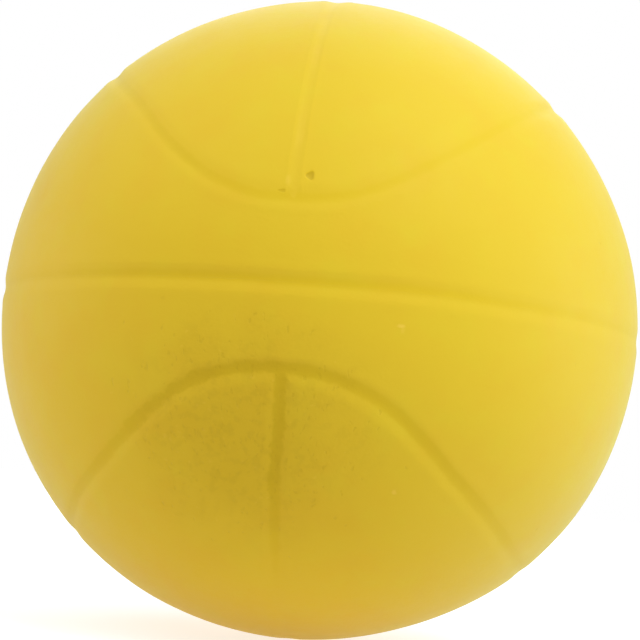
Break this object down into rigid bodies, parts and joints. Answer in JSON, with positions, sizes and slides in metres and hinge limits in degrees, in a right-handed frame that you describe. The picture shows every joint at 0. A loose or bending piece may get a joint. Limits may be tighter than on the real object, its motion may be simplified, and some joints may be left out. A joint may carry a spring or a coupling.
{
  "type": "foam basketball",
  "caption": "Soft yellow foam basketball: a solid foam core in a moulded two-part skin with an equatorial channel, oval channels and centre channels.",
  "frame": {"origin": "centre of the ball, on the parting plane of the two half-skins", "axes": "+Z through the middle of the upper oval, square to the equatorial channel; -Y towards the side that the picture shows, where the band between the ovals is narrow; +X to the right seen from there"},
  "size_m": [0.1998, 0.1998, 0.1998],
  "materials": {
    "skin": "matt yellow moulded polyurethane skin with fine pits and soft mottling",
    "foam": "matt yellow open-cell polyurethane foam"
  },
  "bodies": {
    "root": {"upper_skin": "skin", "lower_skin": "skin", "foam_core": "foam"}
  },
  "joints": []
}
